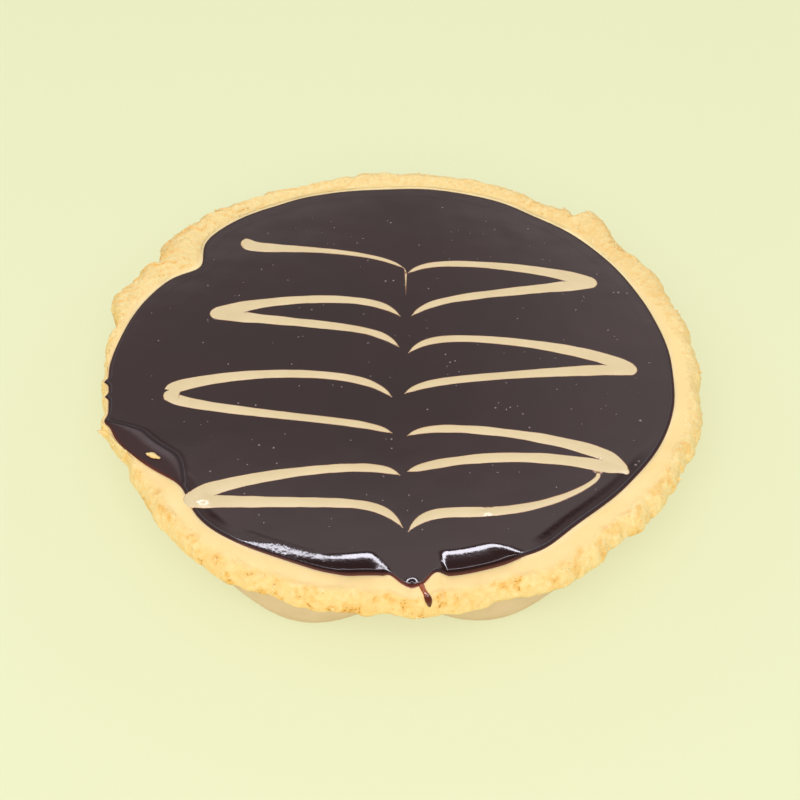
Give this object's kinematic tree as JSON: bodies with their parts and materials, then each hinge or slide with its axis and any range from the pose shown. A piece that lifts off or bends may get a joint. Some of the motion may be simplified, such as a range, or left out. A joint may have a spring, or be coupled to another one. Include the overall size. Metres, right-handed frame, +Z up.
{
  "type": "chocolate tart",
  "caption": "Round shortcrust tart case filled level with glossy chocolate and topped with feathered zigzag icing.",
  "frame": {"origin": "middle of the flat base, on the surface the tart stands on", "axes": "+Z up, -Y to the front, where the knife stroke through the icing ends and the glaze runs over, +X to the right"},
  "size_m": [0.1037, 0.104, 0.0165],
  "materials": {
    "pastry": "matte, rough and crumbly at the rim",
    "chocolate": "glossy",
    "icing": "satin"
  },
  "bodies": {
    "root": {"crust": "pastry", "chocolate_filling": "chocolate", "icing_right_1": "icing", "icing_left_2": "icing", "icing_right_2": "icing", "icing_left_3": "icing", "icing_right_3": "icing", "icing_left_4": "icing"}
  },
  "joints": []
}
